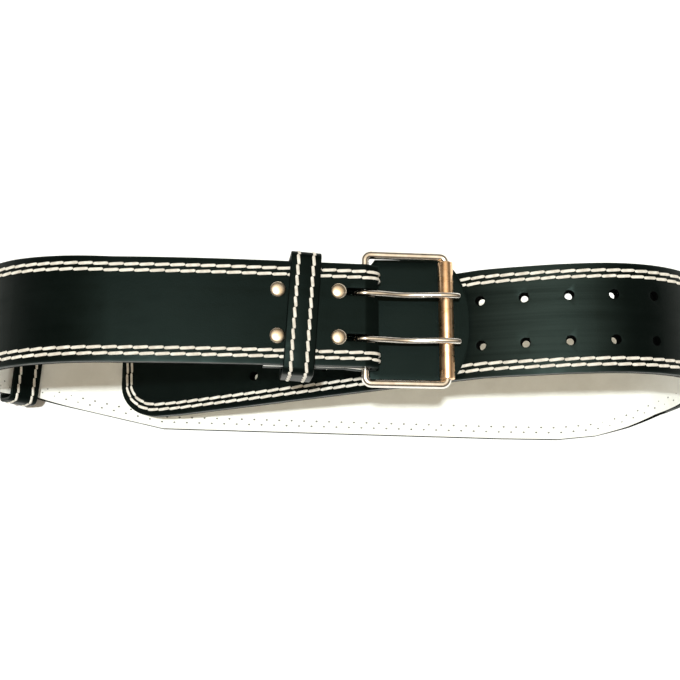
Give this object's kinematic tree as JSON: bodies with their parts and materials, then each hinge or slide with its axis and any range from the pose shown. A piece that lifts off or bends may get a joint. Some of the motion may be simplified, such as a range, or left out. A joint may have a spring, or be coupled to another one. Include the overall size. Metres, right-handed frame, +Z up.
{
  "type": "weightlifting belt",
  "caption": "Wide-backed leather weightlifting belt lying as a loop, with a roller buckle, two prongs, punched holes and two leather keepers.",
  "frame": {"origin": "on the ground, under the middle of the whole belt as it lies", "axes": "+Z up; +X along the loop's length, towards the bend of the holed end; +Y across the belt's width, towards the edge that is at the top of the picture"},
  "size_m": [0.4776, 0.1092, 0.165],
  "materials": {
    "black_leather": "semi-gloss grained black leather, stitched with cream thread",
    "white_suede": "matt white suede",
    "nickel": "polished warm nickel"
  },
  "bodies": {
    "belt": {"belt_leather": "black_leather", "belt_lining": "white_suede", "buckle_flap": "black_leather", "rivet_upper_outer": "nickel", "rivet_lower_outer": "nickel", "rivet_upper_inner": "nickel", "rivet_lower_inner": "nickel", "keeper_front": "black_leather", "keeper_rear": "black_leather"},
    "frame": {"buckle_frame": "nickel"},
    "roller": {"buckle_roller": "nickel"},
    "prong_upper": {"prong_upper": "nickel"},
    "prong_lower": {"prong_lower": "nickel"}
  },
  "joints": [
    {"name": "frame_swing", "type": "hinge", "parent": "belt", "child": "frame", "pos_m": [0.01694, 0.00052, 0.14378], "axis": [0, -1, 0], "range_deg": [0, 35]},
    {"name": "prong_upper_lift", "type": "hinge", "parent": "frame", "child": "prong_upper", "pos_m": [0.01694, 0.00052, 0.14378], "axis": [0, -1, 0], "range_deg": [0, 65]},
    {"name": "prong_lower_lift", "type": "hinge", "parent": "frame", "child": "prong_lower", "pos_m": [0.01694, 0.00052, 0.14378], "axis": [0, -1, 0], "range_deg": [0, 65]},
    {"name": "roller_spin", "type": "hinge", "parent": "frame", "child": "roller", "pos_m": [0.06558, 0.00052, 0.1378], "axis": [0, 1, 0], "continuous": true}
  ]
}
